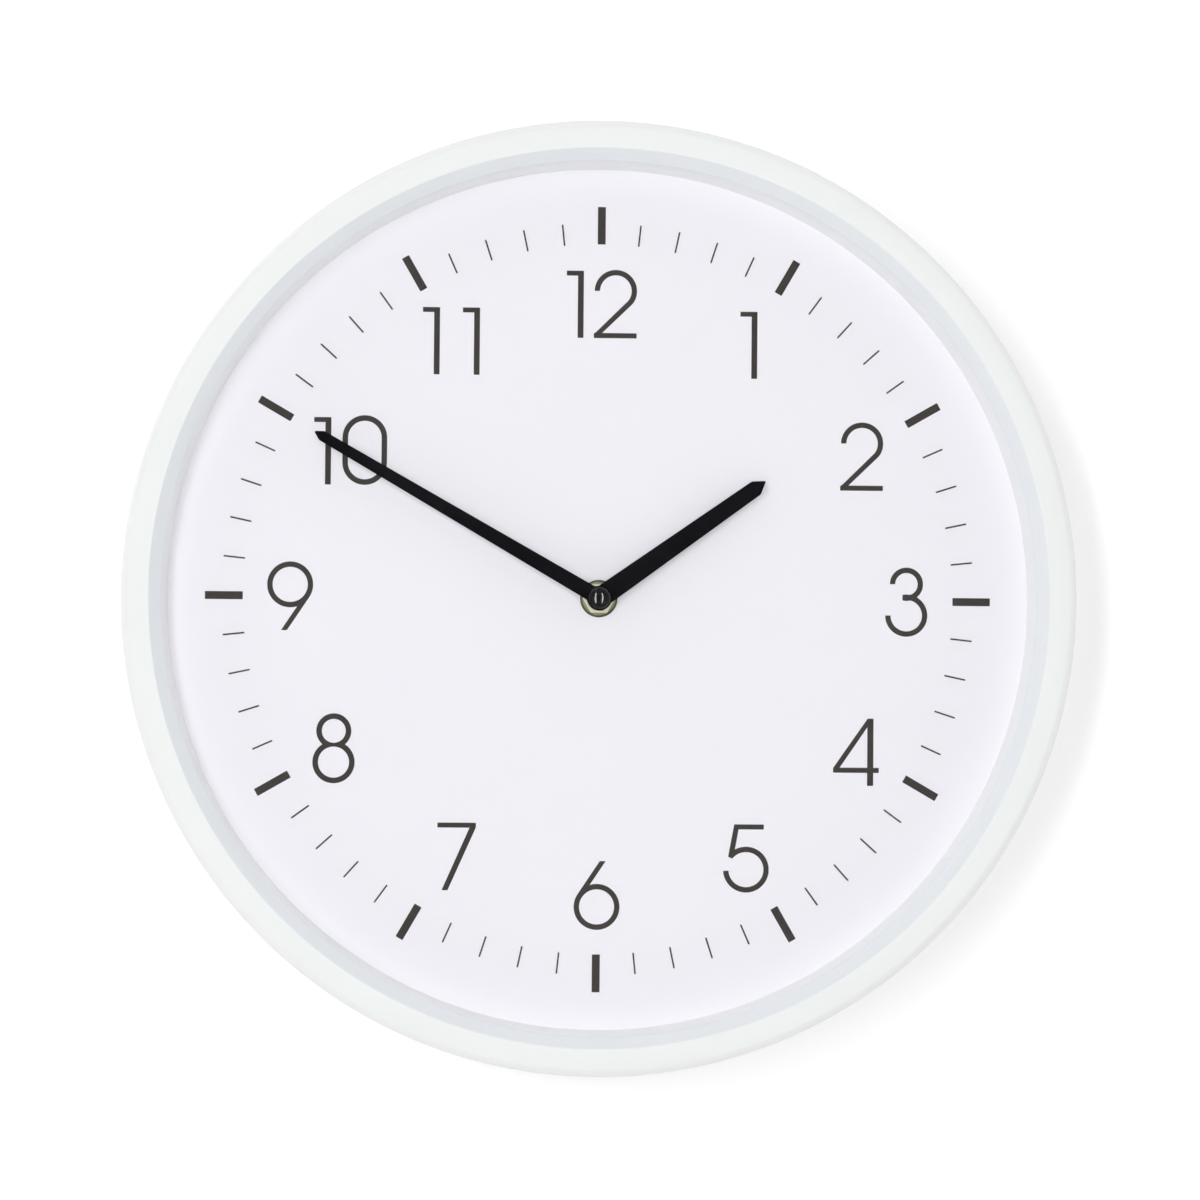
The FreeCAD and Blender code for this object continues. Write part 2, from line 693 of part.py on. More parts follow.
def make_housing():
    """Rear shell of the movement: open battery bay, knob recess, bearings and posts."""
    h = MOV_HALF
    z0, z1, z2 = MOV_Z
    body = rounded_box(-h, h, -h, h, z0, z1, 3.0)
    w = h - MOV_WALL
    cuts = [rounded_box(-w, w, -10.2, w, REAR_SKIN_Z, z1 + 1, 1.2)]
    cuts.append(box(-w, w, BAY_Y[0], BAY_Y[1], z0 - 1, z1 + 1))
    body = body.cut(cuts)
    adds = [cyl(6.4, z0, 4.6, KNOB)]
    for at in ((0, 0), THIRD, INTER, ROTOR):
        adds.append(cyl(1.7, REAR_SKIN_Z - 0.5, 3.9, at))
    for at in POSTS:
        adds.append(cyl(1.2, REAR_SKIN_Z - 0.5, TRAIN_PLATE_Z[0], at))
        adds.append(cyl(0.7, REAR_SKIN_Z, TRAIN_PLATE_Z[1] + 0.4, at))
    for at in BOARD_PINS:
        adds.append(cyl(1.3, REAR_SKIN_Z - 0.5, 5.4, at))
        adds.append(cyl(0.6, REAR_SKIN_Z, 6.9, at))
    body = body.fuse(adds)
    cuts = [cyl(5.2, z0 - 1, 3.4, KNOB), cyl(1.5 + RUN, z0 - 1, 6, KNOB)]
    for at in ((0, 0), THIRD, INTER, ROTOR):
        cuts.append(cyl(SECONDS_ARBOR_R + RUN, 2.4, 5, at))
    for side in (-1, 1):
        for y in CLIP_Y:
            x0, x1 = sorted((side * (w - 0.2), side * (h + 0.2)))
            cuts.append(box(x0, x1, y - 2.2, y + 2.2, 11.8, 13.4))
    cuts.append(box(25.7, w, BAY_Y[1] - 0.5, -8.9, 6.1, 8.8))
    cuts.append(box(-w, -25.7, BAY_Y[1] - 0.5, -8.9, 3.4, 5.4))
    return body.cut(cuts)


def make_front():
    """Front cover of the movement with its four clips and the seat of the bush."""
    h = MOV_HALF
    z1, z2 = MOV_Z[1], MOV_Z[2]
    body = rounded_box(-h, h, -h, h, z1, z2, 3.0)
    adds = []
    w = h - MOV_WALL
    for side in (-1, 1):
        for y in CLIP_Y:
            x0, x1 = sorted((side * (w - 1.1), side * (w - 0.08)))
            adds.append(box(x0, x1, y - 2.0, y + 2.0, 11.6, z1 + 0.2))
            x0, x1 = sorted((side * (w - 0.3), side * (w + 0.9)))
            adds.append(box(x0, x1, y - 1.8, y + 1.8, 12.0, 13.1))
    adds.append(cyl(1.9, 14.8, z1 + 0.2, KNOB))
    body = body.fuse(adds)
    return body.cut([cyl(BUSH_R + 0.02, z1 - 1, z2 + 1), cyl(0.8 + RUN, 14, 16.2, KNOB)])


def make_train_plate():
    """Middle plate: front bearings of the going train and the stud of the motion wheel."""
    z0, z1 = TRAIN_PLATE_Z
    body = rounded_box(-25.0, 25.0, -9.9, 16.6, z0, z1, 2.0)
    body = body.fuse(cyl(1.0, z1 - 0.3, 15.4, MOTION))
    cuts = [cyl(ARBOR_R + RUN, z0 - 1, z1 + 1), cyl(1.5 + RUN, z0 - 1, z1 + 1, KNOB)]
    for at in (THIRD, INTER, ROTOR):
        cuts.append(cyl(SECONDS_ARBOR_R + RUN, z0 - 1, z0 + 0.75, at))
    for at in POSTS:
        cuts.append(cyl(0.75, z0 - 1, z1 + 1, at))
    return body.cut(cuts)


# ================================================================ going train
def make_rotor_pinion():
    p = ROTOR
    body = pinion(Z_ROTOR, M_ROTOR, PH_ROTOR, 4.8, 6.2, p)
    adds = [cyl(0.5, 2.5, 11.25, p), cyl(0.75, 3.95, 4.8, p), cyl(1.2, 6.2, 10.45, p)]
    return body.fuse(adds)


def make_rotor_magnet():
    return ring(3.0, 1.22, 6.9, 9.7, ROTOR)


def make_intermediate_wheel():
    p = INTER
    body = wheel(Z_INTER, M_ROTOR, 0.0, 5.0, 5.8, p)
    body = body.cut(windows(2.2, 4.2, 4, 1.0, 4.5, 6.5, p))
    adds = [cyl(0.5, 2.5, 11.25, p), cyl(0.8, 3.95, 10.45, p)]
    adds.append(pinion(Z_INTER_PINION, M_SECONDS, PH_INTER_PINION, 6.3, 7.7, p))
    adds.append(cyl(1.15, 5.0, 6.3, p))
    return body.fuse(adds)


def make_seconds_wheel():
    body = wheel(Z_SECONDS, M_SECONDS, 0.0, 6.6, 7.4)
    body = body.cut(windows(2.6, 7.8, 5, 1.2, 6, 8, (0.0, 0.0)))
    adds = [cyl(0.5, 2.5, 29.0), cyl(0.9, 3.95, 6.6)]
    adds.append(pinion(Z_SECONDS_PINION, M_SECONDS, PH_SECONDS_PINION, 7.4, 8.85))
    return body.fuse(adds)


def make_third_wheel():
    p = THIRD
    body = wheel(Z_THIRD, M_SECONDS, 0.0, 7.8, 8.6, p)
    body = body.cut(windows(2.6, 7.8, 5, 1.2, 7, 9, p))
    adds = [cyl(0.5, 2.5, 11.25, p), cyl(0.9, 3.95, 7.8, p)]
    adds.append(pinion(Z_THIRD_PINION, M_CENTRE, PH_THIRD_PINION, 8.6, 10.25, p))
    return body.fuse(adds)


def make_centre_wheel():
    body = wheel(Z_CENTRE, M_CENTRE, 0.0, 9.2, 10.0)
    body = body.cut(windows(3.2, 7.8, 5, 1.2, 9, 11, (0.0, 0.0)))
    body = body.fuse(cyl(2.4, 9.1, 10.08))
    return body.cut(cyl(1.27, 8, 11))


def make_minute_arbor():
    """Hollow arbor with the cannon pinion, the seat of the minute hand and the cap's thread."""
    z = MINUTE_HAND_Z
    flats = double_flat(1.5, 2.4, z - 0.2, z + HAND_T)
    flats.rotate(V(0, 0, 0), V(0, 0, 1), -MINUTE_ANGLE)
    body = cyl(1.25, 9.05, 12).fuse([cyl(ARBOR_R, 10.1, z), flats])
    adds = [cyl(1.19, z, z + HAND_T + 1.6)]
    adds.append(pinion(Z_CANNON, M_MOTION, PH_CANNON, 12.0, 13.45))
    body = body.fuse(adds)
    return body.cut(cyl(SECONDS_ARBOR_R + 0.06, 8, z + 1.3))


# ================================================================ motion work
def make_motion_wheel():
    p = MOTION
    body = wheel(Z_MOTION, M_MOTION, 0.0, 12.2, 13.2, p)
    body = body.cut(windows(2.6, 5.6, 4, 1.2, 12, 14, p))
    adds = [pinion(Z_MOTION_PINION, M_HOUR, PH_MOTION_PINION, 13.2, 14.9, p)]
    adds.append(cyl(1.7, 11.95, 13.2, p))
    body = body.fuse(adds)
    return body.cut(cyl(1.0 + RUN, 11, 16, p))


def make_hour_wheel():
    body = wheel(Z_HOUR, M_HOUR, 0.0, 13.6, 14.6)
    body = body.cut(windows(3.6, 6.0, 4, 1.2, 13, 15, (0.0, 0.0)))
    body = body.fuse([cyl(3.2, 13.6, 15.35), cyl(HOUR_TUBE_R, 15, 26.6)])
    return body.cut(cyl(ARBOR_R + 0.06, 13, 27))


def make_knob():
    """Setting knob: fluted head in the rear recess, shaft and gear."""
    p = KNOB
    body = cyl(4.7, 1.9, 3.3, p)
    flutes = [cyl(0.55, 1, 4, polar(4.95, 2 * pi * k / 18, p)) for k in range(18)]
    body = body.cut(flutes)
    body = body.cut(ring(3.4, 2.6, 1.5, 2.3, p))
    adds = [cyl(1.5, 3.0, 12.2, p), cyl(1.3, 12.0, 14.6, p), cyl(0.8, 14, 15.9, p)]
    face = gear_face(Z_KNOB, M_MOTION, 0.5, 1.2, 0.75, PH_KNOB, p, 2)
    adds.append(prism(face, 12.1, 13.3))
    return body.fuse(adds)


# ================================================================ motor and electronics
COIL_Y = 22.4
COIL_Z = 9.1
COIL_X = (-5.5, 15.5)


def make_stator():
    """Soft-iron plate round the rotor with two feet under the ends of the coil core."""
    z0, z1 = 7.9, 8.7
    body = box(-9.5, 19.5, 11.4, 15.4, z0, z1)
    adds = [cyl(5.5, z0, z1, ROTOR), box(-9.5, -6.2, 11.4, 24.4, z0, z1)]
    adds.append(box(16.2, 19.5, 11.4, 24.4, z0, z1))
    body = body.fuse(adds)
    notch = 0.55
    cuts = [cyl(3.45, z0 - 1, z1 + 1, ROTOR)]
    for a in (radians(50), radians(230)):
        cuts.append(cyl(notch, z0 - 1, z1 + 1, polar(3.45, a, ROTOR)))
    return body.cut(cuts).removeSplitter()


def make_core():
    z0 = 8.7
    return box(-9.5, 19.5, COIL_Y - 2.0, COIL_Y + 2.0, z0, z0 + 0.8)


def along_x(shape):
    """Turn a shape built round the z axis so that it lies along x at the coil's centre line."""
    shape.rotate(V(0, 0, 0), V(0, 1, 0), 90)
    shape.translate(V(0, COIL_Y, COIL_Z))
    return shape


def make_bobbin():
    x0, x1 = COIL_X
    body = along_x(cyl(2.5, x0, x1))
    for x in (x0, x1 - 1.0):
        body = body.fuse(box(x, x + 1.0, COIL_Y - 4.1, COIL_Y + 4.1, COIL_Z - 4.1, COIL_Z + 4.1))
    body = body.cut(box(x0 - 1, x1 + 1, COIL_Y - 2.05, COIL_Y + 2.05, 8.65, 9.55))
    return body


def make_winding():
    x0, x1 = COIL_X
    return along_x(ring(3.8, 2.52, x0 + 1.02, x1 - 1.02))


def make_board():
    body = rounded_box(12.6, 26.2, -9.4, 5.0, 5.4, 6.2, 0.8)
    return body.cut([cyl(0.65, 5, 7, at) for at in BOARD_PINS])


def make_chip():
    """Blob of black resin over the bare chip."""
    h = 1.0
    base = 2.7
    r = (base ** 2 + h ** 2) / (2 * h)
    ball = Part.makeSphere(r, V(19.0, -3.0, 6.2 + h - r))
    return ball.common(box(10, 30, -12, 6, 6.2, 9))


def make_crystal():
    """Tuning-fork crystal in its can, lying on the board, with two leads."""
    body = Part.makeCylinder(1.0, 6.0, V(23.6, -3.6, 7.25), V(0, 1, 0))
    for dx in (-0.4, 0.4):
        body = body.fuse(Part.makeCylinder(0.16, 1.6, V(23.6 + dx, 2.2, 7.25), V(0, 1, 0)))
        body = body.fuse(Part.makeCylinder(0.16, 1.2, V(23.6 + dx, 3.7, 6.22), V(0, 0, 1)))
    return body


def make_battery():
    """AA cell: can, insulating ring, raised positive button."""
    x0 = -24.1
    x1 = 25.1
    pts = [(0, x0), (6.4, x0), (6.4, x0 + 0.3), (CELL_R - 0.3, x0 + 0.3), (CELL_R, x0 + 0.7),
           (CELL_R, x1 - 0.7), (CELL_R - 0.4, x1 - 0.3), (5.6, x1 - 0.3), (5.6, x1), (2.75, x1),
           (2.75, x1 + 0.8), (2.55, x1 + 1.0), (0, x1 + 1.0)]
    body = turned(loop_rz(pts))
    body.rotate(V(0, 0, 0), V(0, 1, 0), 90)
    body.translate(V(0, CELL_Y, CELL_Z))
    return body


def make_positive():
    """Flat contact at the button end with a strip up to the board."""
    body = box(26.12, 26.5, -24.6, -13.4, 4.0, 14.0)
    body = body.fuse([box(26.12, 26.5, -13.5, -6.2, 6.3, 8.6), box(24.9, 26.5, -7.6, -6.2, 6.2, 6.55)])
    return body.removeSplitter()


def make_negative():
    """Sprung contact at the flat end with its strip along the bay wall to the board."""
    body = box(-26.5, -26.15, -24.6, -13.4, 3.6, 14.0)
    t = 0.32
    out0, out1 = (-26.3, -23.6), (-26.3, -14.7)
    peak = (-24.12, CELL_Y)
    bow = [
        arc(out0, peak, out1),
        line(out1, (out1[0], out1[1] - 0.75)),
        arc((out1[0], out1[1] - 0.75), (peak[0] - t, CELL_Y), (out0[0], out0[1] + 0.75)),
        line((out0[0], out0[1] + 0.75), out0),
    ]
    body = body.fuse(prism(Part.Face(Part.Wire(bow)), 6.7, 11.2))
    strip = [box(-26.5, -26.15, -13.5, -9.78, 3.6, 5.2), box(-26.5, 13.9, -10.13, -9.78, 3.6, 5.2)]
    strip.append(box(13.2, 13.9, -10.13, -8.7, 5.0, 5.38))
    return body.fuse(strip).removeSplitter()


# ================================================================ export
os.makedirs("parts", exist_ok=True)
save("bezel", make_bezel())
save("lens", make_lens())
save("spacer_ring", make_spacer())
save("dial", make_dial())
save("numerals", *make_numerals())
save("minute_track", *make_minute_track())
save("back_plate", make_back_plate())
save("case_screws", *[make_screw(at) for at in screw_spots()])
save("hour_hand", make_hour_hand())
save("minute_hand", make_minute_hand())
save("hand_cap", make_hand_cap())
save("rubber_washer", make_rubber_washer())
save("brass_washer", make_brass_washer())
save("hex_nut", make_hex_nut())
save("threaded_bush", make_threaded_bush())
save("movement_housing", make_housing())
save("movement_front", make_front())
save("train_plate", make_train_plate())
save("rotor_magnet", make_rotor_magnet())
save("rotor_pinion", make_rotor_pinion())
save("intermediate_wheel", make_intermediate_wheel())
save("seconds_wheel", make_seconds_wheel())
save("third_wheel", make_third_wheel())
save("centre_wheel", make_centre_wheel())
save("minute_arbor", make_minute_arbor())
save("motion_wheel", make_motion_wheel())
save("hour_wheel", make_hour_wheel())
save("setting_knob", make_knob())
save("stator", make_stator())
save("coil_core", make_core())
save("coil_bobbin", make_bobbin())
save("coil_winding", make_winding())
save("circuit_board", make_board())
save("chip", make_chip())
save("quartz_crystal", make_crystal())
save("battery", make_battery())
save("contact_positive", make_positive())
save("contact_negative", make_negative())
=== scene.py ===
"""Looks of the round wall clock: materials, camera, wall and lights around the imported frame."""
import json
import math

import bmesh
import bpy
from mathutils import Matrix, Vector


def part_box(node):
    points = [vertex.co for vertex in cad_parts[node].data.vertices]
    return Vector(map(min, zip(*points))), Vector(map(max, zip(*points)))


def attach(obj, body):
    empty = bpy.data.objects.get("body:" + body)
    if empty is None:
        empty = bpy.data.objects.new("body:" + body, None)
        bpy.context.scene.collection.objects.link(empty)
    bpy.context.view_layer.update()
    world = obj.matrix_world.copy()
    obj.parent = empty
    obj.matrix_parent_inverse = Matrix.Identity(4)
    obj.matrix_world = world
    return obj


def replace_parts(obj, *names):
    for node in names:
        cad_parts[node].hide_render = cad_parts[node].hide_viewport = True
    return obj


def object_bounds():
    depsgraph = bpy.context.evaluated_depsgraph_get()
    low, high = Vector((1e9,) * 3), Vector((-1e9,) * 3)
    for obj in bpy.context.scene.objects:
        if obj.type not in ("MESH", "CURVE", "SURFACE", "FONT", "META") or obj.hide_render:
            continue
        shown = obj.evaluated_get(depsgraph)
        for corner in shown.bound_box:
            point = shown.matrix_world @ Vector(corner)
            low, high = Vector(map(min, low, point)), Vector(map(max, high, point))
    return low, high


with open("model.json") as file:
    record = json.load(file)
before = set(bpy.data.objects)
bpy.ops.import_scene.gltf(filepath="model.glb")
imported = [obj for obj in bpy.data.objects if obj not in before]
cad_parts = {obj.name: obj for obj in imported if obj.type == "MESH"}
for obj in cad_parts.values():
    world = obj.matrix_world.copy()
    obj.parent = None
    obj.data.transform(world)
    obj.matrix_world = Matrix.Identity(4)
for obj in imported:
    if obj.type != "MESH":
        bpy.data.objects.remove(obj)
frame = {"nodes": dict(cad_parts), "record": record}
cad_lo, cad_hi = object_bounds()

MM = 0.001
IMAGE_SIDE = 1200.0        # pixels
SENSOR_WIDTH = 36.0        # mm

# ------------------------------------------------------------------ camera
CAMERA_AZIMUTH = -2.4      # degrees; the camera stands a little left of and below the clock's axis
CAMERA_ELEVATION = -1.7
CAMERA_ROLL = 0.47
CAMERA_DISTANCE = 1.45     # metres
FOCAL_PIXELS = 4581.7
AIM = Vector((0.0004, -0.022, -0.00042))


def direction(azimuth, elevation):
    """Unit vector out of the clock; azimuth 0 is straight in front, and grows to the right."""
    a, e = math.radians(azimuth), math.radians(elevation)
    return Vector((math.sin(a) * math.cos(e), -math.cos(a) * math.cos(e), math.sin(e)))


def facing_back(way):
    """Rotation of a camera or lamp that stands out along way and looks back in."""
    return (-way).to_track_quat("-Z", "Y").to_matrix().to_4x4()


def make_camera():
    back = direction(CAMERA_AZIMUTH, CAMERA_ELEVATION)
    data = bpy.data.cameras.new("camera")
    data.sensor_width = SENSOR_WIDTH
    data.lens = FOCAL_PIXELS / IMAGE_SIDE * SENSOR_WIDTH
    data.clip_start = 0.05
    data.clip_end = 50.0
    cam = bpy.data.objects.new("camera", data)
    bpy.context.scene.collection.objects.link(cam)
    roll = Matrix.Rotation(math.radians(CAMERA_ROLL), 4, "Z")
    cam.matrix_world = Matrix.Translation(AIM + back * CAMERA_DISTANCE) @ facing_back(back) @ roll
    bpy.context.scene.camera = cam


# ------------------------------------------------------------------ node helpers
def node_of(nt, kind):
    return next(n for n in nt.nodes if n.type == kind)


def new_material(name):
    mat = bpy.data.materials.new(name)
    mat.use_nodes = True
    return mat, mat.node_tree, node_of(mat.node_tree, "BSDF_PRINCIPLED")


def so_far(mat):
    """Node tree, shader and base colour of a material that gets more work."""
    shader = node_of(mat.node_tree, "BSDF_PRINCIPLED")
    return mat.node_tree, shader, shader.inputs["Base Color"].links[0].from_socket


def here(nt):
    """The point's own place on its piece, in metres."""
    for n in nt.nodes:
        if n.type == "TEX_COORD":
            return n.outputs["Object"]
    return nt.nodes.new("ShaderNodeTexCoord").outputs["Object"]


def math_node(nt, kind, *values):
    """One sum; each value is a number or another node's output."""
    n = nt.nodes.new("ShaderNodeMath")
    n.operation = kind
    for socket, value in zip(n.inputs, values):
        if isinstance(value, (int, float)):
            socket.default_value = value
        else:
            nt.links.new(value, socket)
    return n.outputs[0]


def spread(nt, value, lo, hi, start=0.3, end=0.7):
    """Value from start to end as lo to hi, and lo or hi beyond them."""
    n = nt.nodes.new("ShaderNodeMapRange")
    nt.links.new(value, n.inputs["Value"])
    n.inputs["From Min"].default_value = start
    n.inputs["From Max"].default_value = end
    n.inputs["To Min"].default_value = lo
    n.inputs["To Max"].default_value = hi
    return n.outputs["Result"]


def grain(nt, size_mm, detail=3.0, stretch=None, seed=0.0):
    """Noise around 0.5, with patches about size_mm across."""
    n = nt.nodes.new("ShaderNodeTexNoise")
    n.noise_dimensions = "4D"
    n.inputs["W"].default_value = seed
    n.inputs["Scale"].default_value = 1.0 / (size_mm * MM)
    n.inputs["Detail"].default_value = detail
    at = here(nt)
    if stretch:
        m = nt.nodes.new("ShaderNodeMapping")
        m.inputs["Scale"].default_value = stretch
        nt.links.new(at, m.inputs["Vector"])
        at = m.outputs["Vector"]
    nt.links.new(at, n.inputs["Vector"])
    return n.outputs["Fac"]


def mix(nt, value, a, b):
    """Colour from a to b as value goes from 0 to 1."""
    n = nt.nodes.new("ShaderNodeMix")
    n.data_type = "RGBA"
    nt.links.new(value, n.inputs["Factor"])
    for name, colour in (("A", a), ("B", b)):
        socket = next(s for s in n.inputs if s.name == name and s.type == "RGBA")
        if isinstance(colour, (tuple, list)):
            socket.default_value = (*colour, 1.0)
        else:
            nt.links.new(colour, socket)
    return next(s for s in n.outputs if s.type == "RGBA")


def relief(nt, shader, layers):
    """Bumps from layers of (height value, depth in mm), one on the other."""
    last = None
    for height, depth in layers:
        n = nt.nodes.new("ShaderNodeBump")
        n.inputs["Distance"].default_value = depth * MM
        nt.links.new(height, n.inputs["Height"])
        if last:
            nt.links.new(last, n.inputs["Normal"])
        last = n.outputs["Normal"]
    nt.links.new(last, shader.inputs["Normal"])


def radius(nt):
    """Distance in mm from the hands' axis."""
    parts = nt.nodes.new("ShaderNodeSeparateXYZ")
    nt.links.new(here(nt), parts.inputs[0])
    x, z = parts.outputs["X"], parts.outputs["Z"]
    squared = math_node(nt, "ADD", math_node(nt, "MULTIPLY", x, x),
                        math_node(nt, "MULTIPLY", z, z))
    return math_node(nt, "DIVIDE", math_node(nt, "SQRT", squared), MM)


def scaled(colour, k):
    return tuple(c * k for c in colour)


def patchy(nt, shader, size_mm, detail, seed, a, b):
    """Base colour that drifts between a and b in patches."""
    patches = spread(nt, grain(nt, size_mm, detail, seed=seed), 0.0, 1.0)
    nt.links.new(mix(nt, patches, a, b), shader.inputs["Base Color"])


def uneven(nt, shader, size_mm, lo, hi, seed, stretch=None):
    """Roughness that drifts between lo and hi."""
    gloss = spread(nt, grain(nt, size_mm, 3.0, stretch, seed), lo, hi)
    nt.links.new(gloss, shader.inputs["Roughness"])


# ------------------------------------------------------------------ finishes
# Lengths in finishes are in mm: sizes of patches and textures, and depths of relief.
def moulded(name, colour, shade=0.97, patch=35.0, rough=(0.36, 0.46), texture=0.45, depth=0.004,
            wave=16.0, wave_depth=0.015, specular=0.5):
    """Injection-moulded plastic: fine eroded texture, faint flow patches and sink waves."""
    mat, nt, shader = new_material(name)
    patchy(nt, shader, patch, 2.0, 1.0, colour, scaled(colour, shade))
    uneven(nt, shader, patch / 6, *rough, seed=2.0)
    shader.inputs["Specular IOR Level"].default_value = specular
    waves = (grain(nt, wave, 1.0, seed=3.0), wave_depth)
    relief(nt, shader, [waves, (grain(nt, texture, 2.0, seed=4.0), depth)])
    return mat


def metal(name, colour, shade=0.85, patch=3.0, rough=(0.22, 0.36), stretch=None):
    """Stamped or plated metal: brushed or pitted micro-relief with uneven polish."""
    mat, nt, shader = new_material(name)
    patchy(nt, shader, patch, 3.0, 5.0, colour, scaled(colour, shade))
    shader.inputs["Metallic"].default_value = 1.0
    uneven(nt, shader, patch / 3, *rough, seed=6.0, stretch=stretch)
    relief(nt, shader, [(grain(nt, 0.25, 3.0, stretch, seed=7.0), 0.003)])
    return mat


def turned_metal(name, colour, rough=(0.2, 0.32), metallic=1.0):
    """Metal turned on a lathe about the clock's axis: fine concentric tool marks."""
    groove = 0.12
    mat, nt, shader = new_material(name)
    patchy(nt, shader, 1.5, 3.0, 8.0, colour, scaled(colour, 0.94))
    shader.inputs["Metallic"].default_value = metallic
    uneven(nt, shader, 0.6, *rough, seed=9.0)
    wave = math_node(nt, "SINE", math_node(nt, "MULTIPLY", radius(nt), 2 * math.pi / groove))
    rings = (spread(nt, wave, 0.0, 1.0, -1.0, 1.0), 0.004)
    relief(nt, shader, [rings, (grain(nt, 0.3, 3.0, seed=10.0), 0.002)])
    return mat


def hub_brass():
    """Pale washer, with painted shade as a dark band towards its rim."""
    painted_rim_shade = 5.4, 6.0         # radii between which the painted shade darkens it, before the noise moves them
    mat = turned_metal("hub_brass", (0.43, 0.405, 0.25), (0.34, 0.44), 0.5)
    nt, shader, face = so_far(mat)
    rim_shade_wobble = math_node(nt, "MULTIPLY", grain(nt, 2.5, 3.0, seed=34.0), 0.8)
    edge = spread(nt, math_node(nt, "ADD", radius(nt), rim_shade_wobble), 0.0, 1.0, *painted_rim_shade)
    # painted shade: the washer darkens to near black at its rim
    nt.links.new(mix(nt, edge, face, (0.085, 0.08, 0.05)), shader.inputs["Base Color"])
    return mat


def case_white():
    """Satin white with a faint green cast; the bevel is darker and bluer, a painted shade and
    painted reflection of the dial, and the rounded edge lighter and neutral, painted light.
    """
    bevel_shade_end, edge_light_start = (141.0, 141.5), (147.2, 149.2)     # radii where the painted bevel shade ends and the painted edge light comes in
    mat = moulded("case_white", (0.783, 0.809, 0.800), 0.985, rough=(0.38, 0.48), depth=0.006)
    nt, shader, body = so_far(mat)
    bevel_shade_mask = spread(nt, radius(nt), 1.0, 0.0, *bevel_shade_end)
    edge_light_mask = spread(nt, radius(nt), 0.0, 1.0, *edge_light_start)
    # painted shade and painted reflection: the bevel is tinted darker and bluer
    with_bevel_shade = mix(nt, bevel_shade_mask, body, (0.760, 0.786, 0.812))
    # painted light: the rounded outer edge is tinted lighter and neutral
    nt.links.new(mix(nt, edge_light_mask, with_bevel_shade, (0.820, 0.824, 0.820)), shader.inputs["Base Color"])
    return mat


def dial_face():
    """Printed plastic sheet: pale lavender, very fine tooth."""
    mat, nt, shader = new_material("dial_face")
    patches = spread(nt, grain(nt, 60.0, 2.0, seed=11.0), 0.0, 1.0)
    flecks = spread(nt, grain(nt, 0.5, 2.0, seed=12.0), 0.0, 1.0)
    wide = mix(nt, patches, (0.924, 0.889, 0.945), (0.917, 0.882, 0.939))
    fine = mix(nt, patches, (0.916, 0.881, 0.936), (0.909, 0.874, 0.929))
    nt.links.new(mix(nt, flecks, wide, fine), shader.inputs["Base Color"])
    uneven(nt, shader, 5.0, 0.55, 0.65, seed=13.0)
    shader.inputs["Specular IOR Level"].default_value = 0.3
    relief(nt, shader, [(grain(nt, 0.35, 3.0, seed=14.0), 0.003)])
    return mat


def dial_ink():
    """Screen-printed ink: warm dark grey, slightly uneven cover."""
    mat, nt, shader = new_material("dial_ink")
    patchy(nt, shader, 0.35, 3.0, 15.0, (0.044, 0.036, 0.033), (0.057, 0.047, 0.044))
    uneven(nt, shader, 1.2, 0.45, 0.6, seed=16.0)
    shader.inputs["Specular IOR Level"].default_value = 0.25
    relief(nt, shader, [(grain(nt, 0.2, 3.0, seed=17.0), 0.004)])
    return mat


def lens_glass():
    """Flat glass that light passes straight through, with a smear or two in its shine."""
    mat, nt, shader = new_material("lens_glass")
    nt.nodes.remove(shader)
    clear = nt.nodes.new("ShaderNodeBsdfTransparent")
    clear.inputs["Color"].default_value = (0.985, 0.992, 0.99, 1.0)
    shine = nt.nodes.new("ShaderNodeBsdfAnisotropic")
    uneven(nt, shine, 40.0, 0.0, 0.035, seed=18.0)
    edge = nt.nodes.new("ShaderNodeFresnel")
    edge.inputs["IOR"].default_value = 1.45
    face = nt.nodes.new("ShaderNodeNewGeometry")
    outer = math_node(nt, "SUBTRACT", 1.0, face.outputs["Backfacing"])
    both = nt.nodes.new("ShaderNodeMixShader")
    nt.links.new(math_node(nt, "MULTIPLY", edge.outputs[0], outer), both.inputs[0])
    nt.links.new(clear.outputs[0], both.inputs[1])
    nt.links.new(shine.outputs[0], both.inputs[2])
    nt.links.new(both.outputs[0], node_of(nt, "OUTPUT_MATERIAL").inputs["Surface"])
    return mat


def hand_black():
    """Stamped sheet metal under satin black paint with a fine orange-peel."""
    mat, nt, shader = new_material("hand_black")
    patchy(nt, shader, 4.0, 3.0, 19.0, (0.0036, 0.0031, 0.0054), (0.0051, 0.0046, 0.0072))
    uneven(nt, shader, 1.0, 0.38, 0.5, seed=20.0)
    shader.inputs["Specular IOR Level"].default_value = 0.09
    relief(nt, shader, [(grain(nt, 0.5, 2.0, seed=21.0), 0.012)])
    return mat


def cap_black():
    """Polished black cap with a hint of dust."""
    mat, nt, shader = new_material("cap_black")
    patchy(nt, shader, 1.0, 3.0, 22.0, (0.003, 0.003, 0.0035), (0.006, 0.006, 0.007))
    uneven(nt, shader, 0.8, 0.03, 0.08, seed=23.0)
    relief(nt, shader, [(grain(nt, 0.6, 1.0, seed=24.0), 0.002)])
    return mat


